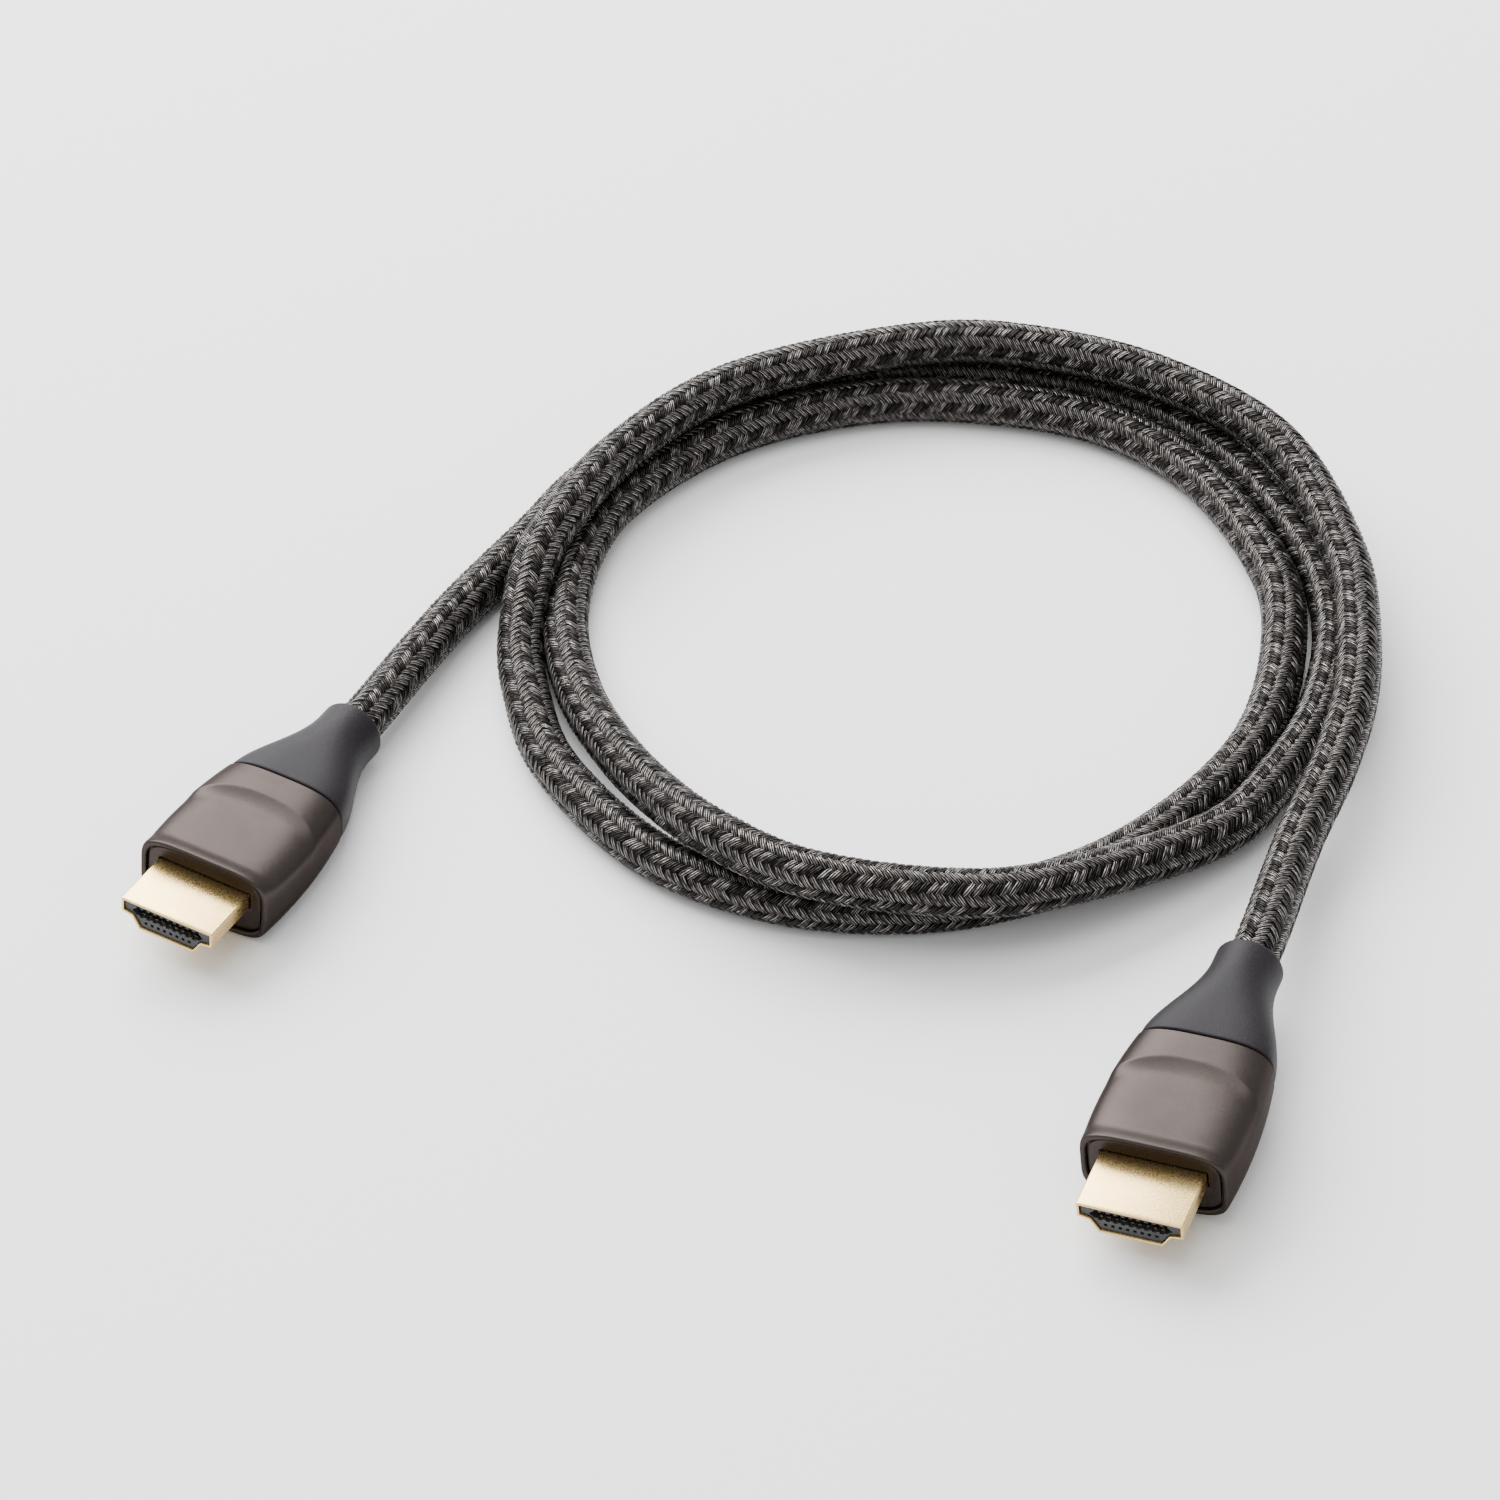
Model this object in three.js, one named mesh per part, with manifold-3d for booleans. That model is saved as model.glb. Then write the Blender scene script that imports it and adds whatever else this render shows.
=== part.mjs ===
import * as THREE from 'three';
import { mergeVertices } from 'three/addons/utils/BufferGeometryUtils.js';
import Module from 'manifold-3d';

// A one-metre braided HDMI cable with a plug on each end, lying loosely looped on the floor.
// Millimetres, +Z up, origin on the floor under the middle of the object.
// Each plug is built in its own frame: +X from the nose to the cable, +Y to one side, +Z up,
// with X = 0 at the nose and the shell's middle on the X axis.

const wasm = await Module();
wasm.setup();

// Metal shell of an HDMI type A plug
const SHELL_WIDTH = 13.9;
const SHELL_HEIGHT = 4.45;
const SHELL_SIDE = 2.3;           // upright part of each side, below the top
const SHELL_LEDGE = 1.6;          // how far each side then steps inwards
const SHELL_LEDGE_DROP = 0.3;
const SHELL_BASE_WIDTH = 8.4;     // flat underside between the two slanted shoulders
const SHELL_CORNER = 0.2;
const SHELL_WALL = 0.35;
const SHELL_REACH = 8.9;          // from the housing's lip to the nose
const SHELL_SEAT = 4.0;           // length held inside the housing, behind the lip

// Plastic body that holds the contacts
const INSERT_SETBACK = 0.35;      // behind the shell's front rim
const INSERT_LENGTH = 11.0;
const INSERT_CLEARANCE = 0.12;
const SLOT_WIDTH = 10.9;
const SLOT_HEIGHT = 1.2;
const SLOT_RISE = 0.55;           // the slot sits above the shell's middle
const SLOT_POINT = 0.7;           // how far each end of the slot runs out to its point
const SLOT_DEPTH = 8.6;

// Contacts, two facing rows of strips laid in grooves along the slot
const UPPER_CONTACTS = 10;
const LOWER_CONTACTS = 9;
const CONTACT_PITCH = 1.0;
const CONTACT_WIDTH = 0.45;
const CONTACT_THICKNESS = 0.3;
const CONTACT_LENGTH = 7.6;
const CONTACT_SETBACK = 0.5;      // behind the insert's front face
const CONTACT_PROUD = 0.12;       // how far a strip stands out of its groove
const CONTACT_CLEARANCE = 0.06;

// Row of blind square sockets in the insert's front face, below the slot
const SOCKETS = 8;
const SOCKET_PITCH = 0.95;
const SOCKET_SIZE = 0.45;
const SOCKET_DROP = 1.5;          // from the slot's middle to the row's middle
const SOCKET_DEPTH = 0.8;

// Aluminium housing
const HOUSING_LENGTH = 20.3;
const HOUSING_WIDTH = 20.4;       // at its widest, in the middle
const HOUSING_FRONT_WIDTH = 19.4;
const HOUSING_REAR_WIDTH = 18.4;
const HOUSING_HEIGHT = 10.9;
const HOUSING_REAR_HEIGHT = 10.2;
const HOUSING_POWER = 4.4;        // squareness of the rounded section
const HOUSING_REAR_POWER = 3.2;
const HOUSING_EDGE = 0.45;        // rounding of the lip and of the rear rim
const RIDGE_FROM_REAR = 5.6;      // where the label face steps up
const RIDGE_STEP = 0.45;
const RIDGE_RAMP = 1.5;
const LIP_WALL = 0.8;
const LIP_DEPTH = 0.4;            // the front face lies this far behind the lip
const SEAT_CLEARANCE = 0.15;

// Rubber strain relief
const RELIEF_GAP = 0.3;           // seam behind the housing
const RELIEF_LENGTH = 18.2;
const RELIEF_INSET = 0.2;         // its front is this much inside the housing's rear outline
const COLLAR_DIAMETER = 9.2;
const COLLAR_LENGTH = 2.4;        // straight stretch at the cable's end
const COLLAR_ROUNDING = 0.6;
const AROUND = 36;                // points round the housing and the strain relief

// Braided cable
const CABLE_DIAMETER = 6.6;
const CABLE_SIDES = 10;
const CABLE_STEPS = 80;
const CABLE_GAP = 0.3;            // between the cable's end and the strain relief
const CABLE_LEAD = 4.0;           // straight stretch where it leaves a strain relief
const FLOOR_TURN = CABLE_DIAMETER / 2 + 0.1; // height of the centreline where it lies on the floor

// How each plug lies: the nose on the floor plan, turn, roll and pitch in degrees
const PLUGS = [
  { name: 'plug_a', nose: [-79.2, -37.1], yaw: 62.7, roll: 4, pitch: 2 },
  { name: 'plug_b', nose: [43.9, -90.1], yaw: 67.8, roll: -4.8, pitch: -4 },
];

// The cable's way from plug A to plug B, between the two strain reliefs: under the crossing at
// the upper left, once round as the floor turn, over the crossing at the lower right, round
// again inside, out under that crossing, and last on top of the first turn. The third number is
// how many cable diameters a point lies above the floor turn.
const ROUTE = [
  [-49.6, 21.4, 0.12], [-43.7, 33.9, 0], [-33.7, 50.5, 0],
  [-26.8, 62.3, 0], [-9.5, 79.8, 0], [12.7, 88.6, 0], [31.8, 89.1, 0],
  [52.4, 82.9, 0], [67.2, 69.7, 0], [78.1, 45.3, 0], [79.8, 28.2, 0],
  [75.7, 9.2, 0], [69.1, -3.6, 0], [61.5, -14.6, 0.12], [42.8, -27.3, 0.55],
  [27.8, -32.5, 0.77], [4.2, -30.1, 1], [-8.3, -21.7, 1], [-14.8, -13.1, 0.77],
  [-21.0, -1.1, 0.41], [-26.4, 13.5, 0.11], [-28.9, 29.7, 0], [-27.1, 45.4, 0],
  [-21.5, 58.7, 0], [-5.7, 74.4, 0], [14.3, 82.2, 0], [31.1, 82.5, 0],
  [49.0, 77.3, 0], [61.9, 65.7, 0], [71.4, 44.1, 0], [72.8, 30.2, 0],
  [66.3, 3.6, 0], [47.4, -19.0, 0], [28.9, -28.3, 0], [15.1, -30.2, 0],
  [0.3, -28.0, 0], [-15.8, -19.2, 0], [-29.9, -0.1, 0], [-33.9, 14.4, 0],
  [-35.1, 25.0, 0.03], [-33.1, 39.6, 0.62], [-29.2, 48.8, 0.82], [-21.6, 62.5, 0.86],
  [-5.7, 78.5, 0.91], [25.7, 88.4, 1], [41.1, 86.8, 1], [57.6, 79.7, 1],
  [73.6, 64.3, 1], [81.6, 37.4, 0.94], [81.9, 21.8, 0.91], [80.1, 6.8, 0.83],
  [76.0, -6.7, 0.68], [70.6, -19.6, 0.5],
];

const MATERIALS = {
  gold: { color: 0xd8bb86, roughness: 0.32, metalness: 1.0 },
  contact: { color: 0xd9bd7c, roughness: 0.3, metalness: 1.0 },
  plastic: { color: 0x26272b, roughness: 0.55, metalness: 0.0 },
  aluminium: { color: 0x756a66, roughness: 0.42, metalness: 0.85 },
  rubber: { color: 0x343338, roughness: 0.7, metalness: 0.0 },
  braid: { color: 0x4d4743, roughness: 0.6, metalness: 0.1 },
};

const LIP_X = SHELL_REACH;
const REAR_X = LIP_X + HOUSING_LENGTH;
const COLLAR_END_X = REAR_X + RELIEF_GAP + RELIEF_LENGTH;

function named(name, geometry, material) {
  const mesh = new THREE.Mesh(geometry, new THREE.MeshStandardMaterial(MATERIALS[material]));
  mesh.name = name;
  return mesh;
}

// Solid booleans on closed meshes
function toSolid(geometry) {
  const bare = geometry.clone();
  bare.deleteAttribute('normal');
  bare.deleteAttribute('uv');
  const merged = mergeVertices(bare, 1e-4);
  return new wasm.Manifold(new wasm.Mesh({
    numProp: 3,
    vertProperties: new Float32Array(merged.attributes.position.array),
    triVerts: new Uint32Array(merged.index.array),
  }));
}

function toGeometry(solid) {
  const mesh = solid.getMesh();
  const geometry = new THREE.BufferGeometry();
  geometry.setAttribute('position', new THREE.BufferAttribute(mesh.vertProperties, 3));
  geometry.setIndex(new THREE.BufferAttribute(mesh.triVerts, 1));
  geometry.computeVertexNormals();
  return geometry;
}

// An outline in the plug's Y and Z, drawn out along X from one place to another
function prism(shape, fromX, toX, curveSegments = 4) {
  const geometry = new THREE.ExtrudeGeometry(shape, {
    depth: toX - fromX, bevelEnabled: false, curveSegments,
  });
  // the shape's x, y and depth become Y, Z and X
  geometry.applyMatrix4(new THREE.Matrix4().set(
    0, 0, 1, fromX,
    1, 0, 0, 0,
    0, 1, 0, 0,
    0, 0, 0, 1,
  ));
  return geometry;
}

function block(fromX, toX, y, width, fromZ, toZ) {
  const geometry = new THREE.BoxGeometry(toX - fromX, width, toZ - fromZ);
  geometry.translate((fromX + toX) / 2, y, (fromZ + toZ) / 2);
  return geometry;
}

// The shell's outline: flat top, upright sides that step inwards, slanted shoulders and a narrower
// flat underside, with every edge moved outwards by a margin
function shellOutline(margin) {
  const half = SHELL_WIDTH / 2;
  const top = SHELL_HEIGHT / 2;
  const ledge = top - SHELL_SIDE;
  const corner = Math.max(SHELL_CORNER, -0.7 * margin);  // stays a bevel when moved inwards
  const right = [
    [half - corner, top],
    [half, top - corner],
    [half, ledge],
    [half - SHELL_LEDGE, ledge - SHELL_LEDGE_DROP],
    [SHELL_BASE_WIDTH / 2, -top],
  ];
  const left = right.map(([y, z]) => [-y, z]).reverse();
  const corners = [...right, ...left].map(([y, z]) => new THREE.Vector2(y, z));
  const count = corners.length;
  const outward = corners.map((place, i) => {
    const edge = corners[(i + 1) % count].clone().sub(place).normalize();
    return new THREE.Vector2(-edge.y, edge.x);
  });
  const moved = corners.map((place, i) => {
    const before = outward[(i + count - 1) % count];
    const after = outward[i];
    const share = margin / (1 + before.dot(after));
    return place.clone().addScaledVector(before.clone().add(after), share);
  });
  return new THREE.Shape(moved);
}

function shellGeometry() {
  const back = LIP_X + SHELL_SEAT;
  const outside = toSolid(prism(shellOutline(0), 0, back));
  const inside = toSolid(prism(shellOutline(-SHELL_WALL), -1, back + 1));
  return toGeometry(outside.subtract(inside));
}

// The slot that the socket's tongue enters, with a point at each end
function slotOutline() {
  const half = SLOT_WIDTH / 2;
  const low = SLOT_RISE - SLOT_HEIGHT / 2;
  const high = SLOT_RISE + SLOT_HEIGHT / 2;
  const shape = new THREE.Shape();
  shape.moveTo(half - SLOT_POINT, high);
  shape.lineTo(-half + SLOT_POINT, high);
  shape.lineTo(-half, SLOT_RISE);
  shape.lineTo(-half + SLOT_POINT, low);
  shape.lineTo(half - SLOT_POINT, low);
  shape.lineTo(half, SLOT_RISE);
  return shape;
}

// The two rows of contacts: which way the row faces and where each strip lies across the slot
function contactRows() {
  const rows = [];
  for (const [row, count, side] of [['upper', UPPER_CONTACTS, 1], ['lower', LOWER_CONTACTS, -1]]) {
    for (let i = 0; i < count; i += 1) {
      rows.push({ name: `contact_${row}_${i + 1}`, side, y: (i - (count - 1) / 2) * CONTACT_PITCH });
    }
  }
  return rows;
}

// A strip's place. Its groove is the same, grown by a margin and open at the insert's front.
function contactBlock(row, margin) {
  const fromX = INSERT_SETBACK + CONTACT_SETBACK;
  const wall = SLOT_RISE + row.side * (SLOT_HEIGHT / 2 - CONTACT_PROUD);
  const back = wall + row.side * CONTACT_THICKNESS;
  const low = Math.min(wall, back) - margin;
  const high = Math.max(wall, back) + margin;
  const opens = margin > 0 ? INSERT_SETBACK - 1 : fromX;
  return block(opens, fromX + CONTACT_LENGTH + margin, row.y, CONTACT_WIDTH + 2 * margin, low, high);
}

function insertGeometry() {
  const margin = -SHELL_WALL - INSERT_CLEARANCE;
  const front = INSERT_SETBACK;
  let solid = toSolid(prism(shellOutline(margin), front, front + INSERT_LENGTH));
  solid = solid.subtract(toSolid(prism(slotOutline(), front - 1, front + SLOT_DEPTH)));
  for (const row of contactRows()) {
    solid = solid.subtract(toSolid(contactBlock(row, CONTACT_CLEARANCE)));
  }
  const low = SLOT_RISE - SOCKET_DROP - SOCKET_SIZE / 2;
  for (let i = 0; i < SOCKETS; i += 1) {
    const y = (i - (SOCKETS - 1) / 2) * SOCKET_PITCH;
    const socket = block(front - 1, front + SOCKET_DEPTH, y, SOCKET_SIZE, low, low + SOCKET_SIZE);
    solid = solid.subtract(toSolid(socket));
  }
  return toGeometry(solid);
}

// A smooth body along X: a unit cylinder whose rings are reshaped to rounded sections.
// Each station has its place, half width, height above and below the axis, and squareness.
function loft(stations, around) {
  const geometry = new THREE.CylinderGeometry(1, 1, 1, around, stations.length - 1);
  const place = geometry.attributes.position;
  for (let i = 0; i < place.count; i += 1) {
    const step = Math.round((0.5 - place.getY(i)) * (stations.length - 1));
    const { x, half, up, down, power } = stations[step];
    const across = place.getX(i);
    const over = place.getZ(i);
    if (Math.hypot(across, over) < 0.5) {
      place.setXYZ(i, x, 0, 0);
      continue;
    }
    const round = (value) => Math.sign(value) * Math.abs(value) ** (2 / power);
    place.setXYZ(i, x, half * round(across), (over > 0 ? up : down) * round(over));
  }
  return geometry;
}

// Half width and heights of the housing at a share of its length, with the step up to the ridge
function housingStation(x, shrink = 0) {
  const share = (x - LIP_X) / HOUSING_LENGTH;
  const middle = 4 * share * (1 - share);
  const ends = HOUSING_FRONT_WIDTH + (HOUSING_REAR_WIDTH - HOUSING_FRONT_WIDTH) * share;
  const width = ends + (HOUSING_WIDTH - (HOUSING_FRONT_WIDTH + HOUSING_REAR_WIDTH) / 2) * middle;
  const height = HOUSING_HEIGHT + (HOUSING_REAR_HEIGHT - HOUSING_HEIGHT) * share ** 2;
  const ridge = REAR_X - RIDGE_FROM_REAR;
  const fade = Math.min(1, (x - LIP_X) / (2 * RIDGE_RAMP));
  const dip = x < ridge ? RIDGE_STEP * fade * Math.min(1, (ridge - x) / RIDGE_RAMP) : 0;
  return {
    x,
    half: width / 2 - shrink,
    up: height / 2 - shrink - Math.max(dip, 0),
    down: height / 2 - shrink,
    power: HOUSING_POWER + (HOUSING_REAR_POWER - HOUSING_POWER) * share,
  };
}

function housingGeometry() {
  const ridge = REAR_X - RIDGE_FROM_REAR;
  const body = loft([
    { ...housingStation(LIP_X, HOUSING_EDGE), x: LIP_X },
    housingStation(LIP_X + HOUSING_EDGE),
    housingStation(LIP_X + 2 * RIDGE_RAMP),
    housingStation((LIP_X + ridge) / 2),
    housingStation(ridge - RIDGE_RAMP),
    housingStation(ridge),
    housingStation((ridge + REAR_X) / 2),
    housingStation(REAR_X - HOUSING_EDGE),
    { ...housingStation(REAR_X, HOUSING_EDGE), x: REAR_X },
  ], AROUND);
  const lip = { ...housingStation(LIP_X), half: HOUSING_FRONT_WIDTH / 2 - LIP_WALL };
  lip.up = HOUSING_HEIGHT / 2 - LIP_WALL;
  lip.down = lip.up;
  const recess = loft([{ ...lip, x: LIP_X - 1 }, { ...lip, x: LIP_X + LIP_DEPTH }], AROUND);
  const seat = prism(shellOutline(SEAT_CLEARANCE), LIP_X - 1, LIP_X + SHELL_SEAT + SEAT_CLEARANCE);
  return toGeometry(toSolid(body).subtract(toSolid(recess)).subtract(toSolid(seat)));
}

// The strain relief runs from the housing's rear outline to a round collar
function reliefGeometry() {
  const front = REAR_X + RELIEF_GAP;
  const start = housingStation(REAR_X, RELIEF_INSET);
  const collar = COLLAR_DIAMETER / 2;
  const taper = RELIEF_LENGTH - COLLAR_LENGTH;
  const stations = [];
  const steps = 8;
  for (let i = 0; i <= steps; i += 1) {
    const share = i / steps;
    const ease = (1 - Math.cos(Math.PI * share ** 0.9)) / 2;
    const mix = (from, to) => from + (to - from) * ease;
    stations.push({
      x: front + taper * share,
      half: mix(start.half, collar),
      up: mix(start.up, collar),
      down: mix(start.down, collar),
      power: mix(start.power, 2),
    });
  }
  const round = { half: collar, up: collar, down: collar, power: 2 };
  const end = COLLAR_END_X;
  stations.push({ ...round, x: end - COLLAR_ROUNDING });
  for (const angle of [30, 60, 90]) {
    const turn = THREE.MathUtils.degToRad(angle);
    const radius = collar - COLLAR_ROUNDING * (1 - Math.cos(turn));
    stations.push({
      x: end - COLLAR_ROUNDING * (1 - Math.sin(turn)), half: radius, up: radius, down: radius,
      power: 2,
    });
  }
  return loft(stations, AROUND);
}

// One plug, laid on the floor with its lowest edge touching it
function plug({ name, nose, yaw, roll, pitch }) {
  const group = new THREE.Group();
  group.add(named(`${name}_shell`, shellGeometry(), 'gold'));
  group.add(named(`${name}_contact_insert`, insertGeometry(), 'plastic'));
  for (const row of contactRows()) {
    group.add(named(`${name}_${row.name}`, contactBlock(row, 0), 'contact'));
  }
  group.add(named(`${name}_housing`, housingGeometry(), 'aluminium'));
  group.add(named(`${name}_strain_relief`, reliefGeometry(), 'rubber'));
  const turns = [roll, pitch, yaw].map(THREE.MathUtils.degToRad);
  group.rotation.set(...turns, 'ZYX');
  group.position.set(...nose, 0);
  group.updateMatrixWorld(true);
  group.position.z = -new THREE.Box3().setFromObject(group, true).min.z;
  group.updateMatrixWorld(true);
  return group;
}

// The cable's centreline, straight out of one strain relief and straight into the other
function cableRoute(first, last) {
  const leave = (group, distance) => group.localToWorld(
    new THREE.Vector3(COLLAR_END_X + CABLE_GAP + distance, 0, 0),
  );
  return new THREE.CatmullRomCurve3([
    leave(first, 0),
    leave(first, CABLE_LEAD),
    ...ROUTE.map(([x, y, level]) => new THREE.Vector3(x, y, FLOOR_TURN + level * CABLE_DIAMETER)),
    leave(last, CABLE_LEAD),
    leave(last, 0),
  ], false, 'centripetal');
}

function cableGeometry(route) {
  const section = new THREE.Shape();
  for (let i = 0; i < CABLE_SIDES; i += 1) {
    const angle = (2 * Math.PI * i) / CABLE_SIDES;
    const point = [CABLE_DIAMETER / 2 * Math.cos(angle), CABLE_DIAMETER / 2 * Math.sin(angle)];
    if (i === 0) section.moveTo(...point);
    else section.lineTo(...point);
  }
  return new THREE.ExtrudeGeometry(section, {
    steps: CABLE_STEPS, extrudePath: route, bevelEnabled: false,
  });
}

const cable = new THREE.Group();
const plugs = PLUGS.map(plug);
cable.add(...plugs);
cable.add(named('braided_cable', cableGeometry(cableRoute(...plugs)), 'braid'));

export default cable;
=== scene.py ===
import math

import bmesh
import bpy
import numpy as np
from mathutils import Euler, Matrix, Vector


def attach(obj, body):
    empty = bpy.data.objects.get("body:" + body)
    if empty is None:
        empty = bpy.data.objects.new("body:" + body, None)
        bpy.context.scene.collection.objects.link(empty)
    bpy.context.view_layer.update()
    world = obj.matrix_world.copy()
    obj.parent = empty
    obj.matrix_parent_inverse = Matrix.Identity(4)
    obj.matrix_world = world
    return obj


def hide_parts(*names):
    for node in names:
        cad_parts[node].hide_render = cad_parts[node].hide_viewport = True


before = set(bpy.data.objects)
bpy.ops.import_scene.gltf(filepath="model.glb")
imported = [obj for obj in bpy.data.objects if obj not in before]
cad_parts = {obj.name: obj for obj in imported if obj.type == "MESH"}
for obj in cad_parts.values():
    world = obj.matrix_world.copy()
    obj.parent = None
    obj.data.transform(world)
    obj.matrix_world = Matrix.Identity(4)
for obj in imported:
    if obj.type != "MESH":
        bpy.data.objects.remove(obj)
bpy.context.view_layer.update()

MM = 0.001
rng = np.random.default_rng(7)

# Sizes of the plug, in millimetres, in its own frame: X from the nose to the cable
SHELL_WIDTH = 13.9
SHELL_HEIGHT = 4.45
SHELL_SIDE = 2.3
SHELL_LEDGE = 1.6
SHELL_LEDGE_DROP = 0.3
SHELL_BASE_WIDTH = 8.4
SHELL_CORNER = 0.2
SHELL_WALL = 0.35
SHELL_REACH = 8.9
SHELL_SEAT = 4.0
NOSE_ROUNDING = 0.10
HOUSING_LENGTH = 20.3
HOUSING_WIDTH = 20.4
HOUSING_FRONT_WIDTH = 19.4
HOUSING_REAR_WIDTH = 18.4
HOUSING_HEIGHT = 10.9
HOUSING_REAR_HEIGHT = 10.2
HOUSING_POWER = 4.4
HOUSING_REAR_POWER = 3.2
RIDGE_FROM_REAR = 5.6
RIDGE_STEP = 0.45
LIP_WALL = 0.8
LIP_DEPTH = 0.4
LIP_ROUNDING = 0.28
SEAT_CLEARANCE = 0.15
SEAT_EDGE = 0.12
RELIEF_GAP = 0.3
RELIEF_LENGTH = 18.2
RELIEF_INSET = 0.2
COLLAR_DIAMETER = 9.2
COLLAR_LENGTH = 2.4
COLLAR_ROUNDING = 0.6
COLLAR_CLEARANCE = 0.04
MOUTH_EDGE = 0.12
MOUTH_DEPTH = 1.5
CABLE_DIAMETER = 6.6
CABLE_LEAD = 4.3
CABLE_SEAT = 1.2

# The label face is a shallow dish. It starts behind the lip, and the ridge that ends it stands
# furthest back in the middle and bows forward towards both sides.
DISH_START = 3.0
DISH_DEPTH = 1.5 * RIDGE_STEP
RIDGE_RUN = 2.6
RIDGE_SET_BACK = 0.9
RIDGE_BOW = 3.0
RIDGE_BOW_POWER = 2.2

# Profiles of edges, as pairs of an inset from the outline and a depth. The depth of the front
# face and its groove counts back from the face, and the rear edge's counts forward from the end.
FRONT_FACE = ((1.35, 0.0), (1.15, 0.0), (1.07, 0.03), (1.04, 0.10), (1.03, 0.34), (0.84, 0.34),
              (0.82, 0.05), (0.80, -0.12))
REAR_EDGE = ((0.0, 0.26), (0.02, 0.23), (0.20, 0.03), (0.23, 0.01), (0.28, 0.0), (1.5, 0.0))
# The strain relief's front edge, with the narrower tongue that fills the seam before it
RELIEF_FRONT = ((0.9, -0.28), (0.7, -0.02), (0.35, 0.0), (0.14, 0.04), (0.02, 0.18))

# Stretches of the housing, each with the number of sections along it, closest at the ridge
HOUSING_STRETCHES = ((0.5, 4.0, 12), (4.0, 10.0, 10), (10.0, 16.5, 30), (16.5, 19.9, 8))
STEPS_ROUND = 184
CORNER_GUARD = 0.004
RELIEF_SECTIONS = 40
SHARP_ANGLE = 32
JOIN_DISTANCE = 1e-6

LIP_X = SHELL_REACH
REAR_X = LIP_X + HOUSING_LENGTH
COLLAR_END_X = REAR_X + RELIEF_GAP + RELIEF_LENGTH

# How each plug lies: the place of its nose, and its roll, pitch and turn in degrees
PLUGS = {
    "plug_a": ((-79.2, -37.1, 6.2857), (4.0, 2.0, 62.7)),
    "plug_b": ((43.9, -90.1, 5.1118), (-4.8, -4.0, 67.8)),
}

# The cable's way on the floor plan, from plug A to plug B. The third number is how many cable
# diameters a point lies above the turn on the floor.
FLOOR_TURN = CABLE_DIAMETER / 2 + 0.1
ROUTE = [
    (-49.6, 21.4, 0.12), (-43.7, 33.9, 0), (-33.7, 50.5, 0), (-26.8, 62.3, 0), (-9.5, 79.8, 0),
    (12.7, 88.6, 0), (31.8, 89.1, 0), (52.4, 82.9, 0), (67.2, 69.7, 0), (78.1, 45.3, 0),
    (79.8, 28.2, 0), (75.7, 9.2, 0), (69.1, -3.6, 0), (61.5, -14.6, 0.12), (42.8, -27.3, 0.55),
    (27.8, -32.5, 0.77), (4.2, -30.1, 1), (-8.3, -21.7, 1), (-14.8, -13.1, 0.77),
    (-21.0, -1.1, 0.41), (-26.4, 13.5, 0.11), (-28.9, 29.7, 0), (-27.1, 45.4, 0), (-21.5, 58.7, 0),
    (-5.7, 74.4, 0), (14.3, 82.2, 0), (31.1, 82.5, 0), (49.0, 77.3, 0), (61.9, 65.7, 0),
    (71.4, 44.1, 0), (72.8, 30.2, 0), (66.3, 3.6, 0), (47.4, -19.0, 0), (28.9, -28.3, 0),
    (15.1, -30.2, 0), (0.3, -28.0, 0), (-15.8, -19.2, 0), (-29.9, -0.1, 0), (-33.9, 14.4, 0),
    (-35.1, 25.0, 0.03), (-33.1, 39.6, 0.62), (-29.2, 48.8, 0.82), (-21.6, 62.5, 0.86),
    (-5.7, 78.5, 0.91), (25.7, 88.4, 1), (41.1, 86.8, 1), (57.6, 79.7, 1), (73.6, 64.3, 1),
    (81.6, 37.4, 0.94), (81.9, 21.8, 0.91), (80.1, 6.8, 0.83), (76.0, -6.7, 0.68),
    (70.6, -19.6, 0.5),
]

# The woven sleeve: a stitch's pitch along the cable and its slant, how far it reaches past its
# band and fills its pitch, and how much the stitches differ in place, tilt and shade
BANDS = 12
SLEEVE_PIECES = 4
STITCH = 1.15
SLANT = math.radians(52.0)
STITCH_REACH = 1.32
STITCH_FILL = 1.04
STITCH_TAPER = 0.30
STITCH_GRID = (7, 5)
YARN_RISE = 0.30
END_RISE = 0.02
SIDE_DROP = 0.10
PLACE_SCATTER = 0.03
TILT_SCATTER = 0.035
SHADE_SCATTER = 0.12
CORE_RADIUS = CABLE_DIAMETER / 2 - YARN_RISE
CORE_SIDES = 28
CORE_ROWS = 1000
TANGENT_WINDOW = 11
PATH_STEP = 4

CAMERA_PLACE = (-2.8 * MM, -519.4 * MM, 449.0 * MM)
CAMERA_DIP = 40.5
CAMERA_LENS = 120.0
FLOOR_HALF = 6.0

# Each soft light's place and size in metres, and its power in watts. Both face the origin.
SOFTBOXES = {
    "back_softbox": ((-0.55, 0.98, 0.88), (1.8, 0.9), 70.0),
    "top_softbox": ((-0.25, 0.05, 1.25), (1.0, 1.0), 9.5),
}


def make_camera():
    data = bpy.data.cameras.new("camera")
    data.lens = CAMERA_LENS
    data.sensor_width = 36.0
    data.sensor_fit = "HORIZONTAL"
    data.clip_start = 0.01
    data.clip_end = 10.0
    camera = bpy.data.objects.new("camera", data)
    camera.location = CAMERA_PLACE
    camera.rotation_euler = (math.radians(90.0 - CAMERA_DIP), 0.0, 0.0)
    bpy.context.collection.objects.link(camera)
    bpy.context.scene.camera = camera


make_camera()


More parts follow.
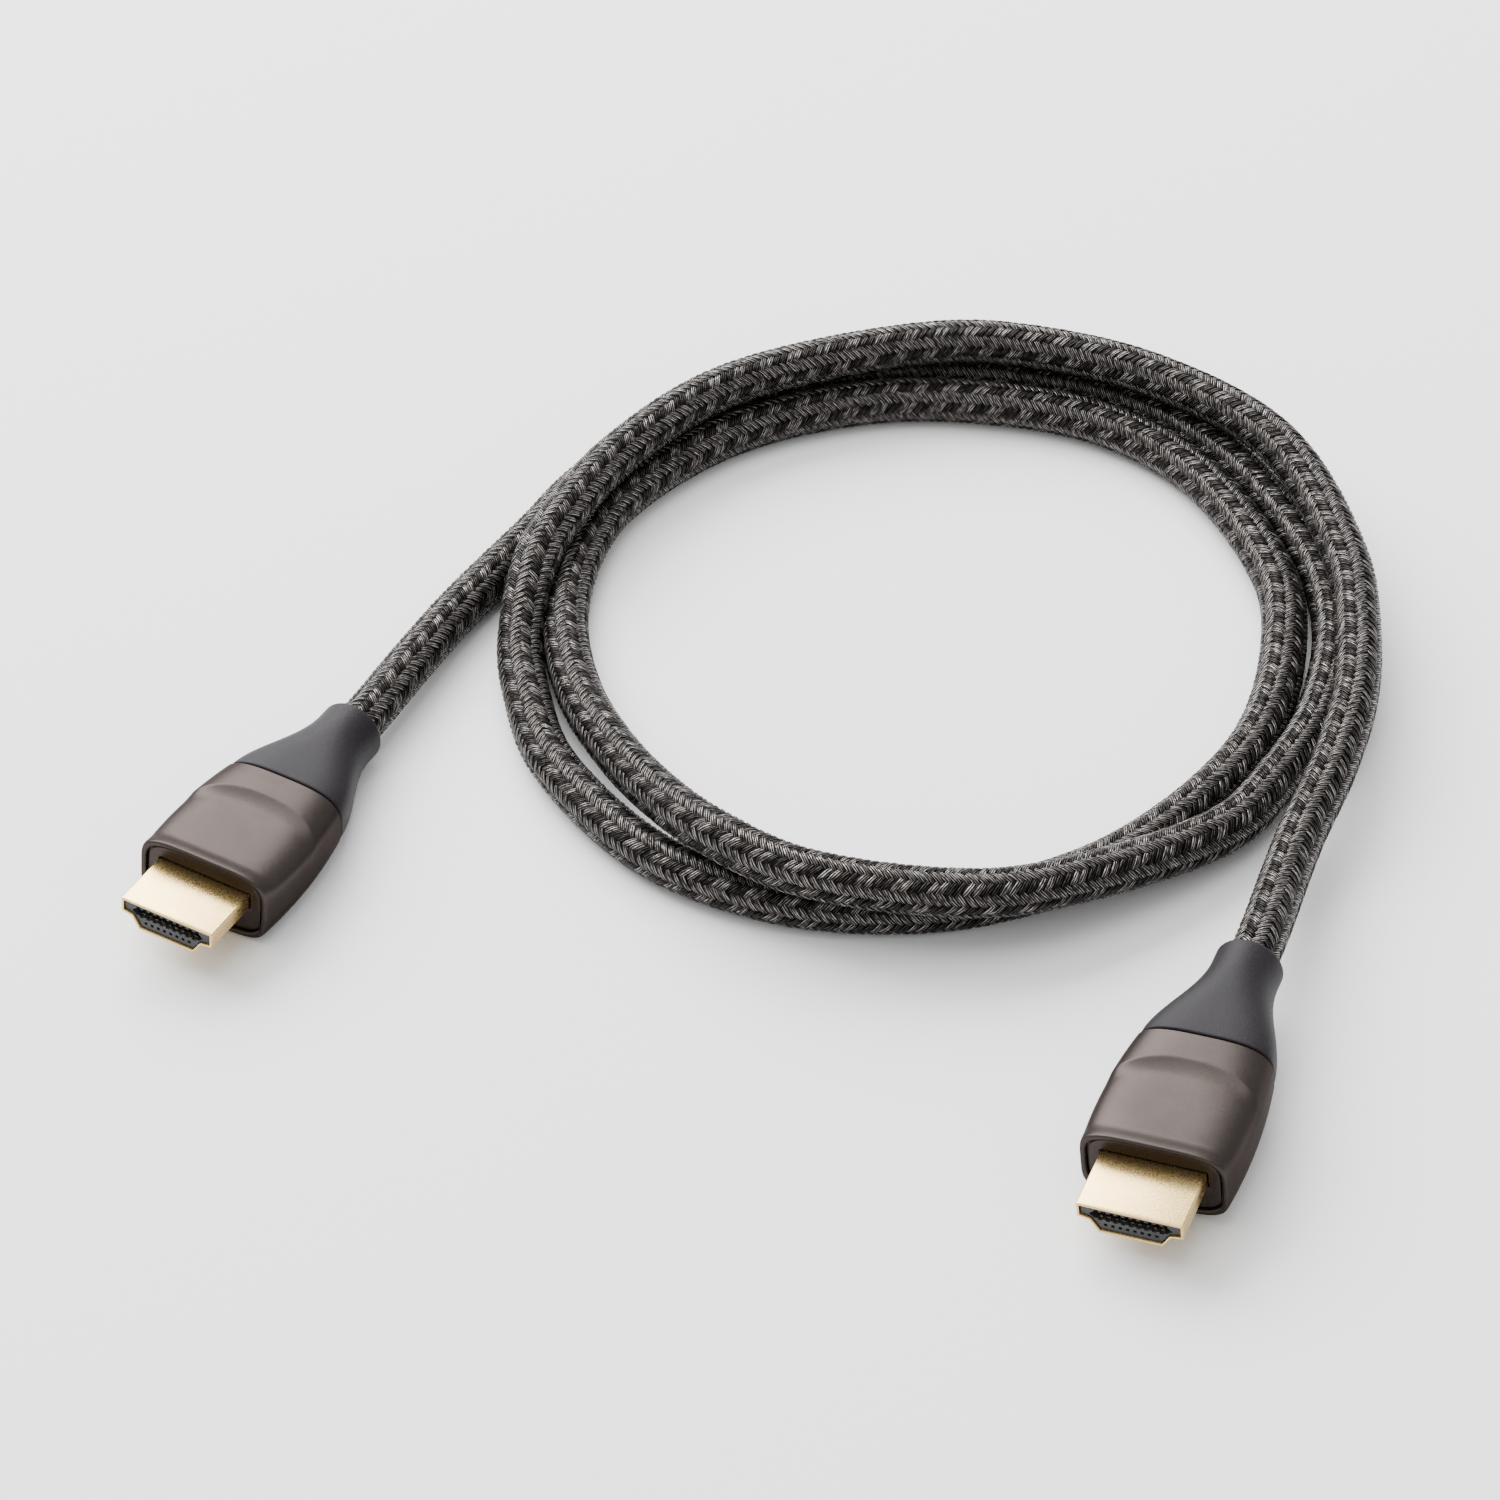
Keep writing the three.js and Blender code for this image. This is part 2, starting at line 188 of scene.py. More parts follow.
def mesh_object(name, verts, faces, smooth=True, uvs=None):
    mesh = bpy.data.meshes.new(name)
    verts = np.asarray(verts, dtype=np.float32)
    faces = np.asarray(faces, dtype=np.int32)
    sides = faces.shape[1]
    mesh.vertices.add(len(verts))
    mesh.vertices.foreach_set("co", verts.ravel())
    mesh.loops.add(faces.size)
    mesh.loops.foreach_set("vertex_index", faces.ravel())
    mesh.polygons.add(len(faces))
    mesh.polygons.foreach_set("loop_start", np.arange(0, faces.size, sides, dtype=np.int32))
    mesh.update(calc_edges=True)
    if uvs is not None:
        layer = mesh.uv_layers.new(name="weave")
        layer.data.foreach_set("uv", np.asarray(uvs, dtype=np.float32)[faces.ravel()].ravel())
    mesh.validate()
    mesh.polygons.foreach_set("use_smooth", np.full(len(mesh.polygons), smooth))
    obj = bpy.data.objects.new(name, mesh)
    bpy.context.collection.objects.link(obj)
    return obj


def grid_faces(rows, columns, closed=True):
    """Quads between successive rows of the same number of points, closed into rings or open."""
    faces = []
    for r in range(rows - 1):
        a = r * columns + np.arange(columns)
        b = np.roll(a, -1)
        quad = np.stack([a, b, b + columns, a + columns], axis=1)
        faces.append(quad if closed else quad[:-1])
    return np.concatenate(faces)


class Nodes:
    """A material's node tree with short calls for the nodes used here."""

    def __init__(self, name):
        self.material = bpy.data.materials.new(name)
        self.material.use_nodes = True
        self.tree = self.material.node_tree
        self.shader = self.tree.nodes["Principled BSDF"]

    def add(self, kind, **settings):
        node = self.tree.nodes.new(kind)
        for key, value in settings.items():
            setattr(node, key, value)
        return node

    def link(self, a, b):
        self.tree.links.new(a, b)

    def put(self, node, socket, value):
        target = node.inputs[socket]
        if hasattr(value, "is_output"):
            self.link(value, target)
        else:
            target.default_value = value

    def coordinates(self):
        return self.add("ShaderNodeTexCoord").outputs["Object"]

    def math(self, operation, a, b=None):
        node = self.add("ShaderNodeMath", operation=operation)
        self.put(node, 0, a)
        if b is not None:
            self.put(node, 1, b)
        return node.outputs[0]

    def noise(self, vector, scale, detail=2.0, roughness=0.5):
        node = self.add("ShaderNodeTexNoise")
        self.put(node, "Vector", vector)
        node.inputs["Scale"].default_value = scale
        node.inputs["Detail"].default_value = detail
        node.inputs["Roughness"].default_value = roughness
        return node.outputs["Fac"]

    def remap(self, value, a, b, c=0.0, d=1.0):
        """Turns a to b into c to d, and holds the value at c and d outside that."""
        node = self.add("ShaderNodeMapRange")
        self.put(node, "Value", value)
        for socket, number in zip(("From Min", "From Max", "To Min", "To Max"), (a, b, c, d)):
            self.put(node, socket, number)
        return node.outputs["Result"]

    def mix(self, factor, a, b):
        """A colour between two, each given as red, green and blue or as another node's output."""
        node = self.add("ShaderNodeMix", data_type="RGBA")
        self.put(node, 0, factor)
        for socket, colour in ((6, a), (7, b)):
            self.put(node, socket, (*colour, 1) if isinstance(colour, tuple) else colour)
        return node.outputs[2]

    def bump(self, height, distance, strength):
        node = self.add("ShaderNodeBump")
        node.inputs["Distance"].default_value = distance
        node.inputs["Strength"].default_value = strength
        self.link(height, node.inputs["Height"])
        return node.outputs["Normal"]

    def set(self, socket, value):
        self.shader.inputs[socket].default_value = value

    def out(self, socket, value):
        self.link(value, self.shader.inputs[socket])


def aluminium_material():
    n = Nodes("anodised_aluminium")
    at = n.coordinates()
    grain = n.noise(at, 9000.0, 3.0, 0.65)
    cloud = n.noise(at, 140.0, 3.0, 0.55)
    n.set("Metallic", 0.9)
    n.set("Specular IOR Level", 0.1)
    n.set("Specular Tint", (0.42, 0.41, 0.41, 1))
    tone = n.mix(n.remap(cloud, 0.3, 0.7), (0.035, 0.0288, 0.0266), (0.044, 0.0365, 0.034))
    tone = n.mix(n.remap(grain, 0.40, 0.75, 0.0, 0.45), tone, (0.095, 0.080, 0.074))
    n.out("Base Color", tone)
    n.out("Roughness", n.remap(grain, 0.3, 0.7, 0.34, 0.44))
    n.out("Normal", n.bump(grain, 0.00003, 0.5))
    return n.material


def rubber_material():
    n = Nodes("grained_rubber")
    at = n.coordinates()
    grain = n.noise(at, 5200.0)
    cloud = n.noise(at, 120.0)
    n.set("Specular IOR Level", 0.13)
    tone = n.mix(n.remap(cloud, 0.3, 0.7), (0.0105, 0.0090, 0.0110), (0.0130, 0.0112, 0.0136))
    n.out("Base Color", n.mix(n.remap(grain, 0.45, 0.8, 0.0, 0.7), tone, (0.030, 0.026, 0.031)))
    n.out("Roughness", n.remap(grain, 0.3, 0.7, 0.44, 0.60))
    n.out("Normal", n.bump(grain, 0.00007, 0.6))
    return n.material


def gold_material(name, low, high):
    n = Nodes(name)
    at = n.coordinates()
    grain = n.noise(at, 4200.0, 3.0, 0.65)
    cloud = n.noise(at, 300.0)
    n.set("Metallic", 1.0)
    tone = n.mix(n.remap(cloud, 0.3, 0.7), low, high)
    dim = tuple(0.62 * c for c in low)
    n.out("Base Color", n.mix(n.remap(grain, 0.25, 0.5, 0.5, 0.0), tone, dim))
    n.out("Roughness", n.remap(grain, 0.3, 0.7, 0.24, 0.34))
    n.out("Normal", n.bump(grain, 0.00003, 0.45))
    return n.material


def plastic_material():
    n = Nodes("moulded_plastic")
    grain = n.noise(n.coordinates(), 4000.0)
    n.set("Specular IOR Level", 0.3)
    n.out("Base Color", n.mix(n.remap(grain, 0.3, 0.7), (0.022, 0.023, 0.026), (0.032, 0.033, 0.037)))
    n.out("Roughness", n.remap(grain, 0.3, 0.7, 0.34, 0.46))
    n.out("Normal", n.bump(grain, 0.00002, 0.3))
    return n.material


def yarn_material():
    """Shiny threads, with painted glints along them and painted shade in the gaps between them, at
    the stitch's ends and along its sides. The weave map runs along a stitch in u and across it in v;
    the attributes say whether a stitch is taupe or black, and give its seed."""
    n = Nodes("braid_yarn")
    uv = n.add("ShaderNodeUVMap", uv_map="weave").outputs["UV"]
    apart = n.add("ShaderNodeSeparateXYZ")
    n.link(uv, apart.inputs[0])
    along, across = apart.outputs["X"], apart.outputs["Y"]
    seed = n.add("ShaderNodeAttribute", attribute_name="seed").outputs["Fac"]
    shade = n.add("ShaderNodeAttribute", attribute_name="shade").outputs["Fac"]
    offset = n.math("MULTIPLY", seed, 97.0)

    def streaks(long_way, cross_way, detail):
        vector = n.add("ShaderNodeCombineXYZ")
        n.link(n.math("MULTIPLY", along, long_way), vector.inputs[0])
        n.link(n.math("MULTIPLY", across, cross_way), vector.inputs[1])
        n.link(offset, vector.inputs[2])
        return n.noise(vector.outputs[0], 1.0, detail)

    # three threads to a stitch, each wavering a little, with painted glints along them and painted
    # shade in the gaps between them
    bend = streaks(1.2, 0.6, 0.0)
    phase = n.math("ADD", n.math("MULTIPLY", across, 3.0), n.math("MULTIPLY", bend, 0.6))
    rib = n.math("ABSOLUTE", n.math("SINE", n.math("MULTIPLY", phase, math.pi)))
    glint_and_bump_streaks = streaks(3.0, 6.5, 1.0)
    # painted shade: the stitch's colour is brightest in its middle and darkened where its ends dip
    # under its neighbours
    from_middle = n.math("ABSOLUTE", n.math("SUBTRACT", n.math("MULTIPLY", along, 2.0), 1.0))
    ends = n.math("POWER", from_middle, 2.0)
    painted_end_shade = n.math("SUBTRACT", 1.0, n.math("MULTIPLY", ends, 0.75))
    # painted light: the base colour is bright in glints along the threads and near black in the gaps
    # between them
    painted_glints_and_shade = n.math("MULTIPLY", n.remap(rib, 0.45, 0.90), n.remap(glint_and_bump_streaks, 0.42, 0.60, 0.12, 1.0))
    painted_glints_and_shade = n.math("MULTIPLY", painted_glints_and_shade, painted_end_shade)
    # taupe and black stitches each carry the painted glints and the painted shade in their colour
    taupe = n.mix(painted_glints_and_shade, (0.0060, 0.0050, 0.0047), (0.340, 0.312, 0.297))
    black = n.mix(painted_glints_and_shade, (0.0012, 0.0010, 0.0009), (0.060, 0.052, 0.048))
    tone = n.mix(shade, black, taupe)
    # painted shade: the colour darkens to near black along both long sides of each stitch, where its
    # neighbours shade it
    side = n.math("ABSOLUTE", n.math("SUBTRACT", across, 0.5))
    n.out("Base Color", n.mix(n.remap(side, 0.38, 0.5, 0.0, 0.9), tone, (0.002, 0.002, 0.002)))
    n.set("Metallic", 0.7)
    n.set("Specular IOR Level", 0.07)
    n.out("Roughness", n.remap(painted_glints_and_shade, 0.0, 1.0, 0.45, 0.27))
    height = n.math("ADD", rib, n.math("MULTIPLY", glint_and_bump_streaks, 0.8))
    n.out("Normal", n.bump(height, 0.00012, 1.0))
    return n.material


def core_material():
    n = Nodes("braid_core")
    speck = n.noise(n.coordinates(), 3000.0, 2.0, 0.6)
    n.out("Base Color", n.mix(speck, (0.002, 0.002, 0.002), (0.006, 0.006, 0.006)))
    n.set("Specular IOR Level", 0.05)
    n.set("Roughness", 0.8)
    n.out("Normal", n.bump(speck, 0.00005, 0.5))
    return n.material


ALUMINIUM = aluminium_material()
RUBBER = rubber_material()
GOLD = gold_material("gold_plate", (0.66, 0.46, 0.18), (0.74, 0.54, 0.24))
CONTACT_GOLD = gold_material("contact_gold", (0.62, 0.50, 0.30), (0.74, 0.62, 0.40))
PLASTIC = plastic_material()
YARN = yarn_material()
CORE = core_material()


def plug_matrix(name):
    place, turns = PLUGS[name]
    roll, pitch, yaw = (math.radians(t) for t in turns)
    turn = (Euler((0, 0, yaw)).to_matrix() @ Euler((0, pitch, 0)).to_matrix()
            @ Euler((roll, 0, 0)).to_matrix())
    return Matrix.Translation(Vector(place)) @ turn.to_4x4()


def to_row(name, points):
    """Points in a plug's frame, in millimetres, to the row's frame in metres."""
    matrix = np.array(plug_matrix(name))
    return (np.asarray(points) @ matrix[:3, :3].T + matrix[:3, 3]) * MM


def control_points():
    def leave(name, distance):
        return to_row(name, [[COLLAR_END_X + distance, 0, 0]])[0] / MM

    ends_a = [leave("plug_a", -CABLE_SEAT), leave("plug_a", CABLE_LEAD)]
    ends_b = [leave("plug_b", CABLE_LEAD), leave("plug_b", -CABLE_SEAT)]
    way = [np.array([x, y, FLOOR_TURN + level * CABLE_DIAMETER]) for x, y, level in ROUTE]
    return np.array(ends_a + way + ends_b)


def centripetal(points, per_span=60):
    """The smooth curve through the points, many places to each span."""
    ends = [2 * points[0] - points[1], 2 * points[-1] - points[-2]]
    full = np.vstack([ends[0], points, ends[1]])
    out = []
    t = np.linspace(0, 1, per_span, endpoint=False)[:, None]
    for i in range(len(points) - 1):
        p0, p1, p2, p3 = full[i:i + 4]
        d0, d1, d2 = (max(float(np.sum((b - a) ** 2)) ** 0.25, 1e-4)
                      for a, b in ((p0, p1), (p1, p2), (p2, p3)))
        m1 = ((p1 - p0) / d0 - (p2 - p0) / (d0 + d1) + (p2 - p1) / d1) * d1
        m2 = ((p2 - p1) / d1 - (p3 - p1) / (d1 + d2) + (p3 - p2) / d2) * d1
        c2 = -3 * p1 + 3 * p2 - 2 * m1 - m2
        c3 = 2 * p1 - 2 * p2 + m1 + m2
        out.append(p1 + m1 * t + c2 * t ** 2 + c3 * t ** 3)
    out.append(points[-1:])
    return np.vstack(out)


class Line:
    """The cable's centreline with frames that don't twist, in millimetres."""

    def __init__(self, points, step=0.25):
        raw = centripetal(points)
        way = np.concatenate([[0], np.cumsum(np.linalg.norm(np.diff(raw, axis=0), axis=1))])
        self.length = float(way[-1])
        count = int(self.length / step)
        self.s = np.linspace(0, self.length, count)
        self.p = np.stack([np.interp(self.s, way, raw[:, k]) for k in range(3)], axis=1)
        kernel = np.hanning(TANGENT_WINDOW)
        kernel /= kernel.sum()
        tangent = np.gradient(self.p, axis=0)
        padded = np.pad(tangent, ((TANGENT_WINDOW // 2, TANGENT_WINDOW // 2), (0, 0)), mode="edge")
        tangent = np.stack([np.convolve(padded[:, k], kernel, mode="valid") for k in range(3)], axis=1)
        self.t = tangent / np.linalg.norm(tangent, axis=1, keepdims=True)
        normals = np.empty_like(self.t)
        normal = np.cross(self.t[0], [0, 0, 1.0])
        normal /= np.linalg.norm(normal)
        for i, direction in enumerate(self.t):
            normal = normal - direction * (normal @ direction)
            normal /= np.linalg.norm(normal)
            normals[i] = normal
        self.n = normals
        self.b = np.cross(self.t, self.n)

    def at(self, s, angle, radius):
        """Points at a length along, an angle round and a distance out from the centreline."""
        pick = np.clip(s, 0, self.length)
        p, n, b = (np.stack([np.interp(pick, self.s, values[:, k]) for k in range(3)], axis=-1)
                   for values in (self.p, self.n, self.b))
        c, w = np.cos(angle)[..., None], np.sin(angle)[..., None]
        return p + radius[..., None] * (c * n + w * b)


def cable_core(line):
    """The dark tube under the stitches, open at both ends inside the collars."""
    s = np.repeat(np.linspace(0, line.length, CORE_ROWS)[:, None], CORE_SIDES, axis=1)
    angle = np.repeat((np.arange(CORE_SIDES) * 2 * math.pi / CORE_SIDES)[None, :], CORE_ROWS, axis=0)
    points = line.at(s, angle, np.full(s.shape, CORE_RADIUS)).reshape(-1, 3)
    obj = mesh_object("cable_core", points * MM, grid_faces(CORE_ROWS, CORE_SIDES))
    obj.data.materials.append(CORE)
    return obj


def braid(line):
    """Every stitch of the sleeve: bands run along the cable, slanting one way and the other by
    turns, so they meet as chevrons. Each stitch dips under its neighbours at both ends."""
    rows, columns = STITCH_GRID
    u, v = np.meshgrid(np.linspace(-1, 1, rows), np.linspace(-1, 1, columns), indexing="ij")
    band_width = math.pi * CABLE_DIAMETER / BANDS
    reach = band_width * STITCH_REACH / math.sin(SLANT)
    wide = STITCH * math.sin(SLANT) * STITCH_FILL
    taper = 1 - STITCH_TAPER * np.abs(u) ** 3
    crown = np.sqrt(np.clip(1 - (v * 0.96) ** 2, 0, 1))
    arch = 1 - np.abs(u) ** 2.6
    rise = END_RISE + (YARN_RISE + END_RISE) * arch * (0.55 + 0.45 * crown) - SIDE_DROP * (1 - crown)
    # a whole number of stitches keeps both ends full
    count = int(line.length / STITCH)
    blocks, shades, uvs = [], [], []
    for band in range(BANDS):
        slope = 1 if band % 2 == 0 else -1
        middle = (band + 0.5) * 2 * math.pi / BANDS
        centres = (np.arange(count) + 0.5 + 0.25 * (band % 2)) * line.length / count
        jitter = rng.normal(0, PLACE_SCATTER, (count, 4))
        tilt = rng.normal(0, TILT_SCATTER, (count, 2))
        ds = u * reach / 2 * math.cos(SLANT) - slope * v * wide / 2 * taper * math.sin(SLANT)
        dt = slope * u * reach / 2 * math.sin(SLANT) + v * wide / 2 * taper * math.cos(SLANT)
        s = centres[:, None, None] + ds[None] + jitter[:, 0, None, None]
        lean = middle + (dt[None] * (1 + jitter[:, 1, None, None])) / (CABLE_DIAMETER / 2)
        high = CORE_RADIUS + rise[None] * (1 + 1.2 * jitter[:, 2, None, None])
        high = high + u[None] * tilt[:, 0, None, None] * arch[None] + v[None] * tilt[:, 1, None, None]
        blocks.append(line.at(s, lean, high).reshape(count, -1, 3))
        # bands of one slant are all taupe, and in the others two taupe stitches follow two black
        if slope > 0:
            shade = np.ones(count)
        else:
            shade = (((np.arange(count) + 2 * (band // 2)) % 4) < 2).astype(float)
        shades.append(np.clip(shade * (1 + rng.normal(0, SHADE_SCATTER, count)), 0, 1))
        weave = np.stack([(u + 1) / 2, (v + 1) / 2], axis=-1).reshape(1, -1, 2)
        uvs.append(np.repeat(weave, count, axis=0))
    return blocks, shades, uvs


def braid_objects(line):
    """The sleeve in pieces, each made of neighbouring bands."""
    blocks, shades, uvs = braid(line)
    rows, columns = STITCH_GRID
    per = rows * columns
    base = grid_faces(rows, columns, closed=False)
    made = []
    group = BANDS // SLEEVE_PIECES
    for k in range(SLEEVE_PIECES):
        pick = slice(k * group, (k + 1) * group)
        verts = np.concatenate(blocks[pick])
        shade = np.concatenate(shades[pick])
        uv = np.concatenate(uvs[pick]).reshape(-1, 2)
        count = len(verts)
        faces = (base[None] + (np.arange(count) * per)[:, None, None]).reshape(-1, 4)
        obj = mesh_object(f"braid_yarn_{k + 1}", verts.reshape(-1, 3) * MM, faces, uvs=uv)
        for label, values in (("shade", shade), ("seed", rng.random(count))):
            layer = obj.data.attributes.new(label, "FLOAT", "POINT")
            layer.data.foreach_set("value", np.repeat(values, per).astype(np.float32))
        obj.data.materials.append(YARN)
        made.append(obj)
    return made


line = Line(control_points())
core = cable_core(line)
yarns = braid_objects(line)
path = [tuple(p * MM) for p in line.p[::PATH_STEP]]
if tuple(line.p[-1] * MM) != path[-1]:
    path.append(tuple(line.p[-1] * MM))
for piece in [core, *yarns]:
    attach(piece, "root")
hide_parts("braided_cable")


def smoothstep(x):
    x = np.clip(x, 0, 1)
    return x * x * (3 - 2 * x)


def ring(x, y, z):
    return np.stack([np.full_like(y, x), y, z], axis=-1)


def closed_rings(rings, capped=True):
    """Vertices and faces of rings joined in turn, with a fan at each end where it is capped."""
    rings = [np.asarray(r) for r in rings]
    if capped:
        rings.insert(0, np.repeat(rings[0].mean(axis=0)[None], len(rings[0]), axis=0))
        rings.append(np.repeat(rings[-1].mean(axis=0)[None], len(rings[-1]), axis=0))
    return np.concatenate(rings), grid_faces(len(rings), len(rings[0]))


def housing_section(x):
    """Half width, half height and squareness of the housing at a distance from the lip."""
    share = x / HOUSING_LENGTH
    middle = 4 * share * (1 - share)
    ends = HOUSING_FRONT_WIDTH + (HOUSING_REAR_WIDTH - HOUSING_FRONT_WIDTH) * share
    width = ends + (HOUSING_WIDTH - (HOUSING_FRONT_WIDTH + HOUSING_REAR_WIDTH) / 2) * middle
    height = HOUSING_HEIGHT + (HOUSING_REAR_HEIGHT - HOUSING_HEIGHT) * share ** 2
    power = HOUSING_POWER + (HOUSING_REAR_POWER - HOUSING_POWER) * share
    return width / 2, height / 2, power


def shell_outline(margin):
    """The shell's outline with every edge moved outwards by a margin: flat top with rounded
    corners, upright sides that step inwards, slanted shoulders and a narrower flat underside."""
    half, top = SHELL_WIDTH / 2, SHELL_HEIGHT / 2
    ledge = top - SHELL_SIDE
    corner = max(SHELL_CORNER, -1.05 * margin)
    bend = [(half - corner + corner * math.sin(a), top - corner + corner * math.cos(a))
            for a in np.linspace(0, math.pi / 2, 5)]
    step = [(half, ledge), (half - SHELL_LEDGE, ledge - SHELL_LEDGE_DROP)]
    right = bend + step + [(SHELL_BASE_WIDTH / 2, -top)]
    corners = np.array(right + [(-y, z) for y, z in reversed(right)])
    edges = np.roll(corners, -1, axis=0) - corners
    edges /= np.linalg.norm(edges, axis=1, keepdims=True)
    after = np.stack([-edges[:, 1], edges[:, 0]], axis=1)
    before = np.roll(after, 1, axis=0)
    share = margin / (1 + np.sum(before * after, axis=1, keepdims=True))
    return corners + (before + after) * share


def shell_ring(margin, angle):
    """Where rays at these angles cross the shell's outline."""
    start = shell_outline(margin)
    edge = np.roll(start, -1, axis=0) - start
    way = np.stack([np.cos(angle), np.sin(angle)], axis=-1)
    cross = way[:, None, 0] * edge[None, :, 1] - way[:, None, 1] * edge[None, :, 0]
    cross = np.where(np.abs(cross) < 1e-12, 1e-12, cross)
    reach = (start[None, :, 0] * edge[None, :, 1] - start[None, :, 1] * edge[None, :, 0]) / cross
    place = (start[None, :, 0] * way[:, None, 1] - start[None, :, 1] * way[:, None, 0]) / cross
    hit = (place >= -1e-6) & (place <= 1 + 1e-6) & (reach > 0)
    distance = np.where(hit, reach, np.inf).min(axis=1)
    return way * distance[:, None]


def even_and_corners():
    """Even steps round the housing, and the angles of the corners of the hole for the shell."""
    corners = shell_outline(SEAT_CLEARANCE)
    angles = np.mod(np.arctan2(corners[:, 1], corners[:, 0]), 2 * math.pi)
    even = np.arange(STEPS_ROUND) * 2 * math.pi / STEPS_ROUND
    even = even[np.abs(even[:, None] - angles[None]).min(axis=1) > CORNER_GUARD]
    return np.sort(np.concatenate([even, angles]))


ANGLES = even_and_corners()


def superellipse(half, tall, power):
    c, s = np.cos(ANGLES), np.sin(ANGLES)
    y = half * np.sign(c) * np.abs(c) ** (2 / power)
    z = tall * np.sign(s) * np.abs(s) ** (2 / power)
    return y, z


def finish_mesh(obj, sharp=None):
    """Joins doubled points left by the caps and turns every face outwards."""
    bm = bmesh.new()
    bm.from_mesh(obj.data)
    bmesh.ops.remove_doubles(bm, verts=bm.verts, dist=JOIN_DISTANCE)
    bmesh.ops.recalc_face_normals(bm, faces=bm.faces)
    bm.to_mesh(obj.data)
    bm.free()
    if sharp is not None:
        obj.data.set_sharp_from_angle(angle=math.radians(sharp))


def housing_outline(x, inset):
    """The outline at a distance from the lip, with the dish and the ridge in its upper side."""
    half, tall, power = housing_section(np.clip(x, 0, HOUSING_LENGTH))
    y, z = superellipse(half - inset, tall - inset, power)
    away = np.abs(y) / (half + 1e-9)
    ridge = HOUSING_LENGTH - RIDGE_FROM_REAR + RIDGE_SET_BACK - RIDGE_BOW * away ** RIDGE_BOW_POWER
    climb = 1 - np.clip(1 - (ridge - x) / RIDGE_RUN, 0, 1) ** 2
    dish = climb * (x < ridge) * smoothstep(x / DISH_START)
    z = np.where(z > 0, z * (1 - DISH_DEPTH * dish / tall), z)
    return ring(LIP_X + x, y, z)


def housing_front():
    """Rings from the bottom of the hole for the shell, over the face and round the lip."""
    rings = []
    deep, edge = SHELL_SEAT + SEAT_CLEARANCE, SEAT_EDGE / 4
    for x, margin in ((deep, 0.0), (LIP_DEPTH + SEAT_EDGE, 0.0), (LIP_DEPTH + edge, edge),
                      (LIP_DEPTH, SEAT_EDGE)):
        seat = shell_ring(SEAT_CLEARANCE + margin, ANGLES)
        rings.append(ring(LIP_X + x, seat[:, 0], seat[:, 1]))
    for inset, depth in FRONT_FACE:
        flat = housing_outline(0.0, inset)
        flat[:, 0] = LIP_X + LIP_DEPTH + depth
        rings.append(flat)
    for a in np.linspace(0, 180, 10):
        turn = math.radians(a)
        flat = housing_outline(0.0, LIP_WALL / 2 + (LIP_WALL / 2 - 0.01) * math.cos(turn))
        flat[:, 0] = LIP_X + LIP_ROUNDING * (1 - math.sin(turn))
        rings.append(flat)
    return rings


def housing(name):
    rings = housing_front()
    stretches = [np.linspace(*stretch) for stretch in HOUSING_STRETCHES]
    for x in np.unique(np.concatenate(stretches)):
        rings.append(housing_outline(x, 0.0))
    for inset, before in REAR_EDGE:
        rings.append(housing_outline(HOUSING_LENGTH - before, inset))
    verts, faces = closed_rings(rings)
    obj = mesh_object(f"{name}_housing_body", to_row(name, verts), faces)
    finish_mesh(obj, SHARP_ANGLE)
    obj.data.materials.append(ALUMINIUM)
    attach(obj, "root")
    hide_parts(f"{name}_housing")


def strain_relief(name):
    half, tall, power = housing_section(HOUSING_LENGTH)
    half, tall = half - RELIEF_INSET, tall - RELIEF_INSET
    collar = COLLAR_DIAMETER / 2
    front = REAR_X + RELIEF_GAP
    end = COLLAR_END_X
    taper = RELIEF_LENGTH - COLLAR_LENGTH
    rings = []

    def section(x, half_width, half_height, squareness=2):
        rings.append(ring(x, *superellipse(half_width, half_height, squareness)))

    for inset, depth in RELIEF_FRONT:
        section(front + depth, half - inset, tall - inset, power)
    for share in np.linspace(0.02, 1.0, RELIEF_SECTIONS):
        ease = (1 - math.cos(math.pi * share ** 0.9)) / 2
        section(front + taper * share, half + (collar - half) * ease,
                tall + (collar - tall) * ease, power + (2 - power) * ease)
    for x in np.linspace(front + taper + 0.3, end - COLLAR_ROUNDING, 5):
        section(x, collar, collar)
    for a in np.linspace(12, 90, 7):
        turn = math.radians(a)
        r = collar - COLLAR_ROUNDING * (1 - math.cos(turn))
        section(end - COLLAR_ROUNDING * (1 - math.sin(turn)), r, r)
    mouth = CABLE_DIAMETER / 2 + COLLAR_CLEARANCE
    section(end, mouth + MOUTH_EDGE, mouth + MOUTH_EDGE)
    section(end - MOUTH_EDGE, mouth, mouth)
    section(end - MOUTH_DEPTH, mouth, mouth)
    verts, faces = closed_rings(rings)
    obj = mesh_object(f"{name}_relief_boot", to_row(name, verts), faces)
    finish_mesh(obj)
    obj.data.materials.append(RUBBER)
    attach(obj, "root")
    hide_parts(f"{name}_strain_relief")


